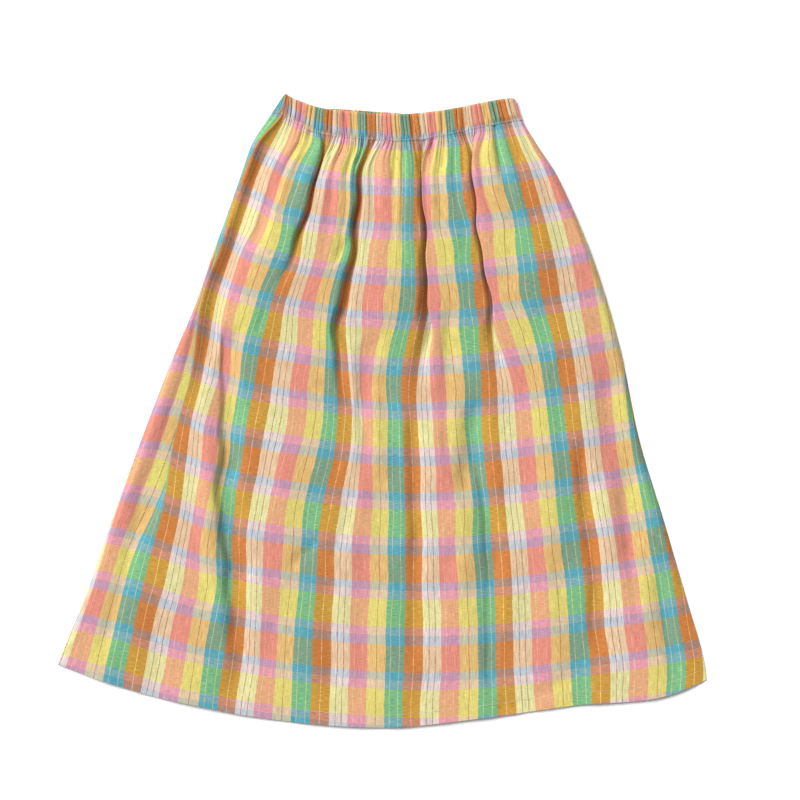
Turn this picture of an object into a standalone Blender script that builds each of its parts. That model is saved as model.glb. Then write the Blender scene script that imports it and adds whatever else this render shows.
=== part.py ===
# Midi skirt with an elastic waist, laid flat on its back, as four cloth walls.
# X runs across the skirt, +Y points to the waist, Z is up, and the underside rests on Z = 0.
# Places on the cloth are given by stripe, counted in woven stripes from the first green one at the
# left of the waist, and by drop, in millimetres below the middle of the waist seam.
import bpy
import numpy as np

MM = 0.001

# Driving sizes, in metres
WALL = 1.2 * MM
SEAM_GAP = 0.3 * MM
CASING_WALL = 2.8 * MM
CASING_RIDGE = 0.8 * MM
BACK_CASING_SHOWS = 2.5 * MM
SIDE_ROUNDING = 26 * MM
VALLEY_SOFTNESS = 0.8 * MM
MIDDLE_OF_OUTLINE = (-0.78 * MM, -367.1 * MM)

# How finely each wall is divided
PANEL_COLUMNS = 112
PANEL_ROWS = 19
CASING_RIDGES = 50
COLUMNS_A_RIDGE = 3
CASING_ROWS = 2
# The rows are closer together near the waist, as shares of the way down to the hem
ROW_CROWDING = 1.45
WAYS_DOWN = np.linspace(0, 1, PANEL_ROWS + 1) ** ROW_CROWDING

# Stripes at the side seams, at the waist seam and at the hem
LEFT_SEAM_STRIPES = (-1.2, -2.45)
RIGHT_SEAM_STRIPES = (28.0, 32.2)

# Where the stripes lie, in millimetres from the centre line, a row for each section:
# drop, left outline, stripe 1, stripe 5, stripe 10, stripe 15, stripe 20, stripe 25, right outline
SECTIONS = (
    (-61, -134, -126, -89, -32, 24, 82, 143, 179),
    (-34, -152, -139, -92, -33, 24, 84, 148, 187),
    (5, -177, -171, -97, -33, 27, 88, 156, 209),
    (41, -190, -186, -109, -41, 27, 89, 165, 233),
    (88, -206, -205, -124, -43, 27, 92, 173, 256),
    (150, -229, -221, -142, -54, 27, 99, 184, 282),
    (218, -252, -244, -169, -70, 24, 104, 194, 305),
    (299, -286, -255, -187, -75, 10, 109, 213, 327),
    (408, -328, -281, -207, -85, 7, 114, 229, 350),
    (517, -368, -303, -224, -108, 9, 122, 241, 383),
    (626, -406, -331, -229, -116, 6, 127, 251, 414),
    (721, -445, -349, -244, -120, 3, 129, 256, 439),
    (800, -473, -364, -255, -124, 2, 130, 260, 443),
)
INNER_STRIPES = (1, 5, 10, 15, 20, 25)

# The waist seam and the hem sag in the middle: stripe, drop in millimetres
WAIST_SEAM = ((-1.2, -38), (0, -35), (5, -12), (10, -2), (15, 1), (20, -7), (25, -21), (28, -27))
HEM = ((-2.45, 713), (0, 736), (5, 770), (10, 791), (15, 799), (20, 787), (25, 769), (30, 756), (32.2, 734))
# Height of the gathered casing: stripe, height in millimetres
CASING_HEIGHT = ((-1.2, 24), (3, 30), (7, 35), (15, 36), (21, 33), (28, 28))

# The largest folds of the front. Each is a valley that runs down the cloth between two drops, from
# one stripe to another, with its reach to the rim on each side in stripes. Its depth is in
# millimetres, and so is how far it pulls the left rim, the valley and the right rim to the right.
# name, first drop, last drop, first stripe, last stripe, left reach, right reach, depth,
# left pull, valley pull, right pull
FOLDS = (
    ("left tuck, upper", -60, 190, -0.95, -0.8, 1.8, 0.9, 17, 0, 14, 0),
    ("left tuck, lower", 95, 590, 0.1, 0.3, 1.8, 0.8, 17, 4, 17, 0),
    ("brown 2", -16, 215, 6.45, 6.2, 0.6, 1.0, 14, 7, 2, -8),
    ("brown 3", -4, 410, 11.5, 11.4, 1.0, 0.9, 16, -3, -11, -15),
    ("cream 4", -4, 375, 17.3, 17.2, 1.2, 1.1, 20, 4, 7, -13),
    ("cream 5", -10, 365, 22.4, 22.4, 1.2, 0.9, 17, 8, 5, -15),
    ("cream 1", 120, 335, 2.5, 2.6, 0.7, 0.9, 5, 0, -5, -11),
    ("yellow 1", 315, 640, 4.3, 5.2, 1.0, 1.2, 9, 9, 6, -2),
    ("salmon 1", 5, 190, 3.7, 3.5, 0.8, 1.0, 4, 0, -3, -6),
    ("salmon 3", 250, 520, 13.4, 13.2, 1.2, 1.2, 4, 3, 0, -3),
    ("green 5", 330, 760, 20.0, 20.9, 1.3, 1.6, 5, 0, 1, 0),
    ("salmon 6", 300, 660, 28.8, 29.5, 1.4, 1.1, 4, 0, 0, -2),
    ("yellow 3", 420, 790, 14.6, 14.2, 1.8, 1.8, 3, 0, 0, 0),
    ("brown 6", 430, 800, 26.2, 26.6, 1.6, 1.6, 2.5, 0, 0, 0),
)
FOLD_OPENS_OVER = 45
FOLD_FADES_OVER = 0.45
PULL_FADES_OVER = (0.9, 1.9)
# The most that a smooth curve's slope may be, against the gentler of the two chords beside it
STEEPEST_SLOPE = 2.5

# Heights down the cloth, in millimetres, by the distance below the waist seam
RIDGE_HEIGHT = ((0, 6), (14, 9), (45, 16), (100, 21), (200, 19), (300, 13), (420, 8), (560, 5), (840, 3))
GATHER_DEPTH = ((0, 1.5), (10, 4.5), (35, 5), (75, 3), (130, 1.2), (190, 0), (900, 0))
# The back panel lies in the front's folds: the share of the front's height that it rises to, and how
# far around it the front is nowhere lower, in metres
NEST_REACH = 12 * MM
BACK_SHARE = ((0, 0.3), (30, 0.5), (200, 0.5), (300, 0.35), (420, 0), (900, 0))
# The gathers are uneven: their pitch in stripes, how far they wander in pitches, and the waves that
# they wander by, each with its turn in radians a stripe, its share and its start
GATHER_PITCH = 1.12
GATHER_WANDER = 0.12
WANDER_WAVES = ((1.3, 1.0, 0.0), (2.9, 0.6, 1.0))
# How far a casing's ridges rise at its two edges, as a share of their height in the middle
CASING_EDGE_RISE = 0.6

MATERIALS = {
    "front_panel": (0.87, 0.60, 0.36),
    "back_panel": (0.82, 0.56, 0.34),
    "front_casing": (0.89, 0.50, 0.26),
    "back_casing": (0.84, 0.46, 0.24),
}
COTTON_ROUGHNESS = 0.9


def through(x, points):
    """The smooth curve through the (x, y) points, read at x."""
    xs, ys = np.array(points, dtype=float).T
    return smooth_rows(x, xs, np.broadcast_to(ys, (len(x), len(ys))))


def smooth_rows(x, xs, ys):
    """A smooth curve for each x, flat at its turns: ys has a row for each x, a value for each of xs."""
    slopes = np.gradient(ys, xs, axis=1)
    secants = np.diff(ys, axis=1) / np.diff(xs)
    gentler = np.minimum(np.abs(secants[:, :-1]), np.abs(secants[:, 1:]))
    limit = np.where(secants[:, :-1] * secants[:, 1:] > 0, STEEPEST_SLOPE * gentler, 0)
    slopes[:, 1:-1] = np.clip(slopes[:, 1:-1], -limit, limit)
    left = np.clip(np.searchsorted(xs, x) - 1, 0, len(xs) - 2)
    row = np.arange(len(x))
    step = xs[left + 1] - xs[left]
    u = np.clip((x - xs[left]) / step, 0, 1)
    rise = ys[row, left + 1] - ys[row, left]
    bend = (1 - u) * slopes[row, left] - u * slopes[row, left + 1] + (2 * u - 1) * rise / step
    return ys[row, left] + u * rise + u * (1 - u) * step * bend


def across(stripe, drop, left_stripe, right_stripe):
    """Where a stripe lies across the skirt at a drop, before the folds pull it aside."""
    sections = np.array(SECTIONS, dtype=float)
    posts = [through(drop, sections[:, (0, column)]) for column in range(1, sections.shape[1])]
    stripes = np.array((left_stripe, *INNER_STRIPES, right_stripe))
    return smooth_rows(stripe, stripes, np.array(posts).T) * MM


def fold_strength(drop, below_seam, first, last):
    """How far open a fold is at a drop, from 0 to 1; at the waist seam every fold is shut."""
    opening = np.clip(np.minimum(drop - first, below_seam) / FOLD_OPENS_OVER, 0, 1)
    fading = np.clip((last - drop) / (last - first) / FOLD_FADES_OVER, 0, 1)
    return np.sin(opening * np.pi / 2) * np.sin(fading * np.pi / 2) ** 2


def valley(stripe, middle, left_reach, right_reach):
    """The cross-section of a fold: 1 at the bottom and 0 at both rims."""
    offset = stripe - middle
    reach = np.where(offset < 0, left_reach, right_reach)
    return np.cos(np.clip(np.abs(offset) / reach, 0, 1) * np.pi / 2) ** 2


def pull(stripe, middle, left_reach, right_reach, pulls):
    """How far a fold pulls each stripe to the right, in millimetres, at a single drop."""
    left_rim = middle - left_reach
    right_rim = middle + right_reach
    places = (left_rim - PULL_FADES_OVER[0], left_rim, middle, right_rim, right_rim + PULL_FADES_OVER[1])
    return through(stripe, tuple(zip(places, (0, *pulls, 0))))


def gather_wave(stripe):
    """Uneven gathers across the cloth: 0 on the crests and 1 in the valleys."""
    wander = sum(share * np.sin(turn * stripe + start) for turn, share, start in WANDER_WAVES)
    return 0.5 - 0.5 * np.cos(2 * np.pi * (stripe / GATHER_PITCH + GATHER_WANDER * wander))


def side_profile(x, left, right):
    """The round fall of the cloth to its side seams: 0 at a seam and 1 inside."""
    inside = np.clip(np.minimum(x - left, right - x) / SIDE_ROUNDING, 0, 1)
    return np.sqrt(1 - (1 - inside) ** 2)


def flat_row(way_down, columns):
    """One row of a panel before it is folded: stripes, drops, distances below the waist seam, places."""
    left_stripe = LEFT_SEAM_STRIPES[0] + (LEFT_SEAM_STRIPES[1] - LEFT_SEAM_STRIPES[0]) * way_down
    right_stripe = RIGHT_SEAM_STRIPES[0] + (RIGHT_SEAM_STRIPES[1] - RIGHT_SEAM_STRIPES[0]) * way_down
    stripe = np.linspace(left_stripe, right_stripe, columns)
    seam = through(stripe, WAIST_SEAM)
    drop = seam + (through(stripe, HEM) - seam) * way_down
    x = across(stripe, drop, left_stripe, right_stripe)
    return stripe, drop, drop - seam, x


def folded_row(way_down):
    """One row of the folds that both panels lie in: places across before and after folding, drops,
    distances below the waist seam, and heights."""
    stripe, drop, below_seam, flat_x = flat_row(way_down, PANEL_COLUMNS + 1)
    x = flat_x.copy()
    side = side_profile(x, x[0], x[-1])
    height = through(below_seam, RIDGE_HEIGHT) - through(below_seam, GATHER_DEPTH) * gather_wave(stripe)
    height *= side
    for _, first, last, stripe_a, stripe_b, left_reach, right_reach, depth, *pulls in FOLDS:
        way = np.clip((np.median(drop) - first) / (last - first), 0, 1)
        middle = stripe_a + (stripe_b - stripe_a) * way
        left_reach = min(left_reach, middle - stripe[0])
        strength = fold_strength(drop, below_seam, first, last)
        height -= depth * strength * valley(stripe, middle, left_reach, right_reach)
        x = x + MM * strength * pull(stripe, middle, left_reach, right_reach, pulls)
    x[0] = flat_x[0]
    height = 0.5 * (height + np.sqrt(height ** 2 + VALLEY_SOFTNESS ** 2))
    return flat_x, x, drop, below_seam, height * MM


def front_sheet():
    """The upper face of the front panel, as rows of points."""
    rows = []
    for way_down in WAYS_DOWN:
        _, x, drop, _, height = folded_row(way_down)
        rows.append(np.stack((x, -drop * MM, height + 2 * WALL + SEAM_GAP), axis=1))
    return np.array(rows)


def back_sheet():
    """The lower face of the back panel: flat where it rests, and up in the front's folds elsewhere."""
    rows = []
    for way_down in WAYS_DOWN:
        flat_x, x, drop, below_seam, height = folded_row(way_down)
        near = np.abs(x - flat_x[:, None]) < NEST_REACH
        lowest = np.where(near, height, np.inf).min(axis=1)
        z = through(below_seam, BACK_SHARE) * lowest
        rows.append(np.stack((flat_x, -drop * MM, z), axis=1)[::2])
    return np.array(rows)


def moved_out(sheet, distance):
    """A copy of a sheet, moved along its normals, upwards if positive; its edges stay upright."""
    across_cloth = np.gradient(sheet, axis=1)
    down_cloth = np.gradient(sheet, axis=0)
    normals = np.cross(down_cloth, across_cloth)
    normals /= np.linalg.norm(normals, axis=2, keepdims=True)
    moved = sheet + distance * normals
    moved[(0, -1), :, 1] = sheet[(0, -1), :, 1]
    moved[:, (0, -1), 0] = sheet[:, (0, -1), 0]
    return moved


def casing_sheet(bottom, ridge, top_edge_shift):
    """One face of a casing: a curved band from the waist seam to the top edge."""
    columns = CASING_RIDGES * COLUMNS_A_RIDGE + 1
    ends = LEFT_SEAM_STRIPES[0], RIGHT_SEAM_STRIPES[0]
    stripe = np.linspace(*ends, columns)
    seam = through(stripe, WAIST_SEAM)
    height = through(stripe, CASING_HEIGHT) + top_edge_shift / MM
    crest = np.cos(2 * np.pi * CASING_RIDGES * np.linspace(0, 1, columns))
    end = np.minimum(np.arange(columns), np.arange(columns)[::-1]) / COLUMNS_A_RIDGE
    end_rounding = np.sqrt(1 - (1 - np.clip(end, 0, 1)) ** 2)
    rows = []
    for way_up in np.linspace(1, 0, CASING_ROWS + 1):
        drop = seam - SEAM_GAP / MM - height * way_up
        x = across(stripe, drop, *ends)
        rise = 1 if 0 < way_up < 1 else CASING_EDGE_RISE
        z = bottom + (ridge * crest + abs(ridge)) * rise * end_rounding
        rows.append(np.stack((x, -drop * MM, z), axis=1))
    return np.array(rows)


def closed_wall(name, upper, lower):
    """A closed wall between an upper and a lower sheet of points of the same rows and columns."""
    rows, columns = upper.shape[:2]
    number = np.arange(rows * columns).reshape(rows, columns)
    under = number + rows * columns
    faces = []
    for r in range(rows - 1):
        for c in range(columns - 1):
            faces.append((number[r, c], number[r + 1, c], number[r + 1, c + 1], number[r, c + 1]))
            faces.append((under[r, c], under[r, c + 1], under[r + 1, c + 1], under[r + 1, c]))
    rim = [(r, 0) for r in range(rows)]
    rim += [(rows - 1, c) for c in range(1, columns)]
    rim += [(r, columns - 1) for r in range(rows - 2, -1, -1)]
    rim += [(0, c) for c in range(columns - 2, -1, -1)]
    for here, there in zip(rim[:-1], rim[1:]):
        faces.append((number[here], under[here], under[there], number[there]))
    points = np.concatenate((upper.reshape(-1, 3), lower.reshape(-1, 3)))
    points[:, :2] -= MIDDLE_OF_OUTLINE
    mesh = bpy.data.meshes.new(name)
    mesh.from_pydata(points.tolist(), [], [[int(i) for i in face] for face in faces])
    mesh.validate()
    mesh.shade_smooth()
    return bpy.data.objects.new(name, mesh)


def cloth_material(name):
    """A matt cotton in the average colour of the piece."""
    material = bpy.data.materials.new(name + "_cotton")
    material.use_nodes = True
    shader = material.node_tree.nodes["Principled BSDF"]
    shader.inputs["Base Color"].default_value = (*MATERIALS[name], 1)
    shader.inputs["Roughness"].default_value = COTTON_ROUGHNESS
    shader.inputs["Metallic"].default_value = 0
    return material


def front_panel():
    sheet = front_sheet()
    return closed_wall("front_panel", sheet, moved_out(sheet, -WALL))


def back_panel():
    sheet = back_sheet()
    upper = sheet.copy()
    upper[:, :, 2] += WALL
    return closed_wall("back_panel", upper, sheet)


def back_casing():
    lower = casing_sheet(0, 0, BACK_CASING_SHOWS)
    upper = casing_sheet(CASING_WALL - 2 * CASING_RIDGE, CASING_RIDGE, BACK_CASING_SHOWS)
    return closed_wall("back_casing", upper, lower)


def front_casing():
    lower = casing_sheet(CASING_WALL + SEAM_GAP, 0, 0)
    upper = casing_sheet(2 * CASING_WALL + SEAM_GAP - CASING_RIDGE, CASING_RIDGE, 0)
    return closed_wall("front_casing", upper, lower)


for old in list(bpy.data.objects):
    bpy.data.objects.remove(old, do_unlink=True)
skirt = bpy.data.collections.new("midi_skirt")
bpy.context.scene.collection.children.link(skirt)
for piece in (front_panel(), back_panel(), front_casing(), back_casing()):
    piece.data.materials.append(cloth_material(piece.name))
    skirt.objects.link(piece)
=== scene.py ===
"""A checked cotton midi skirt with an elastic waist, laid flat on its back on a pale floor."""

import bpy
import numpy as np
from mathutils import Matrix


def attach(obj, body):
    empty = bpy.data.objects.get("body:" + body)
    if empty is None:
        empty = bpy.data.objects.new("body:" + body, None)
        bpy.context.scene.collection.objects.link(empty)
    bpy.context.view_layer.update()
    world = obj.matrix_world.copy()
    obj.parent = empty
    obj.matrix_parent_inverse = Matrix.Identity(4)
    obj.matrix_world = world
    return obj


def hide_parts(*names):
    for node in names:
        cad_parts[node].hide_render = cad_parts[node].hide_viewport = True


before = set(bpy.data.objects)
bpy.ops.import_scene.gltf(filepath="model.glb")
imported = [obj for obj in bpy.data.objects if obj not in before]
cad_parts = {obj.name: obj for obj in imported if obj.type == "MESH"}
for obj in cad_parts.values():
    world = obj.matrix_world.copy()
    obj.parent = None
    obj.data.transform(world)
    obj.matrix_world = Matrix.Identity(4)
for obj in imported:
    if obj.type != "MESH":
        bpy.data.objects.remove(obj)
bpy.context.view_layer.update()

# Camera and floor
# The skirt lies on a plain pale floor and is seen from straight above, framed as in the photo.
# The width that the frame takes in, its middle, the camera's height and the floor's reach are in metres.
PHOTO_WIDTH = 1.088
PHOTO_MIDDLE = (0.0246, 0.0135)
CAMERA_HEIGHT = 8.0
SENSOR_WIDTH_MM = 36.0
FLOOR_REACH = 6.0
FLOOR_WHITE = 0.93
FLOOR_ROUGHNESS = 0.9
FLOOR_GLOSS = 0.0

camera_data = bpy.data.cameras.new("camera_above")
camera_data.sensor_width = SENSOR_WIDTH_MM
camera_data.lens = SENSOR_WIDTH_MM * CAMERA_HEIGHT / PHOTO_WIDTH
camera = bpy.data.objects.new("camera_above", camera_data)
camera.location = (*PHOTO_MIDDLE, CAMERA_HEIGHT)
bpy.context.scene.collection.objects.link(camera)
bpy.context.scene.camera = camera

floor_mesh = bpy.data.meshes.new("pale_floor")
floor_mesh.from_pydata(
    [(-FLOOR_REACH, -FLOOR_REACH, 0), (FLOOR_REACH, -FLOOR_REACH, 0),
     (FLOOR_REACH, FLOOR_REACH, 0), (-FLOOR_REACH, FLOOR_REACH, 0)],
    [], [(0, 1, 2, 3)],
)
floor_material = bpy.data.materials.new("pale_floor_paint")
floor_material.use_nodes = True
floor_shader = floor_material.node_tree.nodes["Principled BSDF"]
floor_shader.inputs["Base Color"].default_value = (FLOOR_WHITE, FLOOR_WHITE, FLOOR_WHITE, 1)
floor_shader.inputs["Roughness"].default_value = FLOOR_ROUGHNESS
floor_shader.inputs["Specular IOR Level"].default_value = FLOOR_GLOSS
floor_mesh.materials.append(floor_material)
floor = bpy.data.objects.new("pale_floor", floor_mesh)
bpy.context.scene.collection.objects.link(floor)

# Studio light
# A broad soft light from the upper left shapes the folds, and an even white surround fills them.
# The key light's slope, turn and softness are in radians.
KEY_SLOPE = 0.82
KEY_TURN = 0.78
KEY_SOFTNESS = 0.7
KEY_STRENGTH = 4.15
FILL_STRENGTH = 0.42

key_data = bpy.data.lights.new("key_light", "SUN")
key_data.angle = KEY_SOFTNESS
key_data.energy = KEY_STRENGTH
key = bpy.data.objects.new("key_light", key_data)
key.rotation_euler = (0, -KEY_SLOPE, -KEY_TURN)
bpy.context.scene.collection.objects.link(key)
surround = bpy.data.worlds.new("white_surround")
surround.use_nodes = True
surround.node_tree.nodes["Background"].inputs["Color"].default_value = (1, 1, 1, 1)
surround.node_tree.nodes["Background"].inputs["Strength"].default_value = FILL_STRENGTH
bpy.context.scene.world = surround
bpy.context.scene.view_settings.view_transform = "Standard"

# Front panel
# One A-line panel of checked cotton, gathered at the waist, so that folds run down from the
# casing and open out towards the hem. It is a thin shell of cloth on the form of its solid.
MM = 0.001
CLOTH = 0.7 * MM
# Edges that turn by more than this, in radians, are shaded sharp
SHARP_EDGE = 1.3
# The solids' walls, and the gap between them, which the cloth fills out
WALL = 1.2 * MM
SEAM_GAP = 0.3 * MM
# The front cloth's outer face at its side edges, and how far it rises from there to lie on the back
PANEL_REST = 2 * CLOTH + 0.1 * MM
PANEL_RISE = 2 * WALL + SEAM_GAP - 2 * CLOTH
# The cloth turns round at each side within the wall, and rises from there across the shoulder
SIDE_WALL = 9 * MM
SIDE_SHOULDER = 85 * MM
SIDE_ROUNDNESS = 0.7
HEIGHT_AT_SIDE = 0.55
# Where the middle of the outline lies, across and up, from the centre line at drop 0
MIDDLE_OF_OUTLINE = (-0.78 * MM, -367.1 * MM)
# The panel's grid, with its rows closer together towards the waist
PANEL_COLUMNS = 420
PANEL_ROWS = 114
ROW_CROWDING = 1.25
# The stripe at each edge, by the share of the way down. High on the left the cloth turns under
# within its first green stripe, and the side seam comes out from below it further down.
LEFT_EDGE_STRIPES = ((0, 0.45), (0.21, 0.5), (0.27, -1.45), (0.5, -1.85), (1, -2.45))
RIGHT_EDGE_STRIPES = ((0, 28.3), (1, 32.2))
# How much steeper a smooth curve may get than the gentler of the stretches beside a point
STEEPEST_SLOPE = 2.5
# Where the stripes lie, in millimetres from the centre line, a row for each section:
# drop, left outline, stripes 1, 2, 5, 10, 15, 20 and 25, right outline
SECTIONS = (
    (-61, -134, -131, -127, -89, -32, 24, 82, 143, 179),
    (-34, -152, -139, -131, -92, -33, 24, 84, 148, 187),
    (5, -177, -171, -150, -97, -33, 27, 88, 156, 209),
    (41, -190, -186, -168, -109, -41, 27, 89, 165, 233),
    (88, -206, -205, -184, -124, -43, 27, 92, 173, 256),
    (150, -229, -221, -203, -142, -54, 27, 99, 184, 282),
    (218, -252, -244, -224, -169, -70, 24, 104, 194, 305),
    (299, -286, -255, -240, -187, -75, 10, 109, 213, 327),
    (408, -328, -281, -262, -207, -85, 7, 114, 229, 350),
    (517, -368, -303, -277, -224, -108, 9, 122, 241, 383),
    (626, -406, -331, -303, -229, -116, 6, 127, 251, 414),
    (721, -445, -349, -323, -244, -120, 3, 129, 256, 439),
    (800, -473, -364, -337, -255, -124, 2, 130, 260, 443),
)
INNER_STRIPES = (1, 2, 5, 10, 15, 20, 25)
# The drop of the waist seam and of the hem, by stripe
WAIST_SEAM = (
    (0.45, -38), (1, -35.5), (2, -31), (5, -12), (10, -2), (15, 1), (20, -7), (25, -21), (28.3, -28),
)
HEM = ((-2.45, 713), (0, 736), (5, 770), (10, 791), (15, 799), (20, 787), (25, 769), (30, 756), (32.2, 734))
# The folds, with drops, depths and pulls in millimetres, and reaches in stripes: name, first drop,
# last drop, first stripe, last stripe, left reach, right reach, depth, left pull, valley pull, right pull
FOLDS = (
    ("left tuck", 150, 600, -0.3, -0.1, 1.6, 1.25, 15, 2, 23, -2),
    ("brown 1", -40, 400, 2.05, 1.95, 1.0, 0.9, 11, 0, 0, 0),
    ("brown 2", -16, 215, 6.45, 6.2, 0.6, 1.0, 14, 7, 2, -8),
    ("brown 3", -4, 410, 11.5, 11.4, 1.0, 0.9, 16, -3, -11, -15),
    ("cream 4", -4, 375, 17.3, 17.2, 1.05, 1.1, 20, 4, 7, -13),
    ("cream 5", -10, 365, 22.4, 22.4, 1.05, 0.9, 17, 8, 5, -15),
    ("cream 1", 120, 335, 2.5, 2.6, 0.7, 0.9, 4, 0, -4, -8),
    ("yellow 1", 250, 760, 3.3, 7.5, 0.95, 1.6, 14, 3, 2, -2),
    ("salmon 1", 5, 190, 3.7, 3.5, 0.8, 1.0, 4, 0, -3, -6),
    ("salmon 3", 250, 520, 13.4, 13.2, 1.2, 1.2, 4, 3, 0, -3),
    ("green 5", 330, 760, 20.0, 20.9, 1.3, 1.6, 5, 0, 1, 0),
    ("salmon 6", 300, 660, 28.8, 29.5, 1.4, 1.1, 4, 0, 0, -2),
    ("yellow 3", 420, 790, 14.6, 14.2, 1.8, 1.8, 3, 0, 0, 0),
    ("brown 6", 430, 800, 26.2, 26.6, 1.6, 1.6, 2.5, 0, 0, 0),
)
# A fold opens over these millimetres and fades over this share of its length. Its pull fades over these
# stripes beyond its left and right rims, and its left reach is cut short at the edge, but not below this
FOLD_OPENS_OVER = 45
FOLD_FADES_OVER = 0.45
PULL_FADES_OVER = (0.9, 1.9)
LEAST_REACH = 0.1
# How far the bottom of a fold may lie hidden under its right rim, in millimetres
FOLD_OVERHANG = 8
# No fold runs straight: each wanders by these waves, in stripes, against millimetres of drop a turn,
# and each further fold is this much later in its waves
FOLD_WANDERS = ((0.17, 155), (0.10, 67))
FOLD_WANDER_STEP = 2.4
# A fold within this many stripes of the left edge wanders less, as it has less cloth beside it
WANDER_INSET = 7
# How much of a row's lean across the skirt the check's bands follow, as the cloth gives on the bias
LEAN_SHARE = 0.8
# Heights down the cloth, in millimetres, by the distance below the waist seam
RIDGE_HEIGHT = (
    (0, 5.6), (6, 7.4), (14, 9.4), (45, 16), (100, 21), (200, 19), (300, 14.5), (420, 12), (560, 10),
    (690, 5), (745, 2.8), (840, 1.4),
)
GATHER_DEPTH = ((0, 1.0), (10, 3.2), (35, 3.7), (75, 2.5), (130, 1.2), (190, 0), (900, 0))
# Stripes for each gather, and how far the gathers stray from that
GATHER_PITCH = 1.12
GATHER_WANDER = 0.12
# The unevenness of what repeats along the waist: turn for each stripe, share and start of each wave
WANDER_WAVES = ((1.3, 1.0, 0.0), (2.9, 0.6, 1.0))
# The fine puckers that the elastic draws the cloth into, through the stitches and just below them
PUCKER_PITCH = 0.41
PUCKER_WANDER = 0.4
PUCKER_TURN = 3.1
PUCKER_START = 2
# Below 1, puckers and ridges have round crests and sharp slits
CREST_ROUNDNESS = 0.8
PUCKER_DEPTH = ((0, 2.2), (6, 2.8), (14, 2.0), (28, 0.9), (46, 0.25), (64, 0), (900, 0))
# Smaller creases of this skirt as it lies. Each is a soft trough, or a ridge if its height is above 0,
# from one point to another: across and drop of both ends, then half its width, its height and how
# far it sways the stripes beside it, all in millimetres
CREASES = (
    ("slit beside salmon 3", 20, 6, 13, 60, 3.0, -4.0, 0.6),
    ("slit in cream 4", 66, 2, 66, 34, 2.6, -4.0, 0.5),
    ("slit in yellow 4", 85, 0, 82, 40, 3.2, -4.0, 0.8),
    ("slit beside green 5", 107, -2, 112, 50, 3.2, -4.5, 1.0),
    ("slit beside green 6", 152, -20, 164, 50, 4.0, -4.5, -1.2),
    ("slit in brown 6", 173, -23, 190, 28, 3.0, -3.5, -0.8),
    ("slant in yellow 1", -97, -14, -112, 20, 4.0, -3.0, 0.5),
    ("slit in cream 2", -66, 8, -76, 50, 3.0, -3.0, 0.5),
    ("slant in cream 3", -18, 10, -48, 46, 3.5, -1.6, 0.0),
    ("trough in salmon 1", -222, 250, -220, 400, 12.0, -4.5, 1.5),
    ("wrinkle in green 2", -158, 225, -168, 260, 6.0, -1.6, 0.0),
    ("shade on green 4", 2, 310, 16, 460, 14.0, -3.0, 2.0),
    ("trough in yellow 4", 90, 230, 90, 430, 10.0, -3.5, -1.5),
    ("shoulder of salmon 4", 70, 380, 78, 470, 16.0, 2.0, 0.0),
    ("trough beside green 5", 128, 360, 110, 470, 11.0, -4.5, 1.0),
    ("trough in yellow 0, high", -322, 450, -336, 540, 10.0, -4.0, 0.0),
    ("trough in yellow 0, low", -336, 540, -380, 690, 11.0, -4.0, 0.0),
    ("shoulder of the long fold, high", -240, 400, -234, 570, 13.0, 4.5, 0.0),
    ("shoulder of the long fold, low", -234, 570, -208, 720, 13.0, 4.0, 0.0),
    ("trough in salmon 2", -152, 620, -160, 740, 14.0, -1.6, 0.0),
    ("slant crease in green 3", -86, 542, -126, 576, 4.0, -3.6, 0.5),
    ("slant beside the long fold", -196, 262, -232, 330, 7.0, -2.6, 1.0),
    ("kink in green 3", -50, 138, -66, 166, 6.0, -2.6, 1.5),
    ("trough in green 3, low", -78, 590, -70, 740, 13.0, -2.2, 0.0),
    ("trough in green 2, low", -206, 660, -196, 760, 14.0, -2.4, 0.0),
    ("ripple in cream 3, one", -44, 470, -58, 560, 9.0, -1.6, 2.2),
    ("ripple in cream 3, two", -30, 500, -26, 590, 12.0, -1.8, -1.5),
    ("trough in brown 4, high", 38, 380, 48, 560, 9.0, -6.5, 1.2),
    ("trough in brown 4, low", 46, 540, 42, 700, 11.0, -4.0, 0.0),
    ("slant in salmon 4", 80, 610, 106, 540, 10.0, -1.8, 0.0),
    ("trough in green 5, high", 126, 420, 150, 570, 9.0, -7.0, 0.0),
    ("trough in green 5, low", 150, 540, 146, 740, 9.0, -7.0, 0.0),
    ("wrinkle in green 4", 16, 590, 32, 630, 6.0, -1.2, 0.0),
    ("hem turn seen through, left", 156, 773, 212, 756, 6.0, -3.2, 0.0),
    ("hem turn seen through, right", 206, 758, 260, 728, 6.0, -3.2, 0.0),
    ("trough in green 7", 374, 590, 396, 730, 9.0, -6.5, 0.0),
    ("shade beside brown 6, high", 270, 420, 284, 560, 9.0, -6.0, 0.0),
    ("shade beside brown 6, low", 284, 540, 294, 680, 9.0, -4.5, 0.0),
    ("fall of the right side", 410, 540, 442, 730, 16.0, -5.0, 0.0),
    ("fold beside yellow 6", 326, 470, 344, 640, 11.0, -3.5, 0.0),
    ("ripple in yellow 6", 356, 696, 386, 704, 6.0, -1.2, 0.0),
    ("trough in salmon 5", 246, 560, 262, 730, 18.0, -2.2, 0.0),
    ("ridge in yellow 5", 212, 330, 232, 560, 20.0, 1.6, 0.0),
    ("ridge in yellow 2", -130, 420, -150, 640, 20.0, 1.8, 0.0),
    ("ridge in salmon 3", -20, 380, -34, 560, 16.0, 1.6, 0.0),
)
# A crease runs out over this share of its length, and has half its height at the points named
CREASE_ENDS_OVER = 0.35
# The cloth is nowhere quite smooth or straight: cell across, cell down and height of its rumples,
# and cell across, cell down and sideways sway of its stripes, all in millimetres
RUMPLES = ((34, 90, 1.8), (22, 40, 0.75), (7, 15, 0.15))
STRAYS = ((60, 55, 2.2), (24, 30, 0.6))
RUMPLES_BEGIN_OVER = 60
RUMPLE_SEED = 11
STRAY_SEED = 21
LATTICE_SIZE = 96
LATTICE_START = (40, 20)
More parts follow.
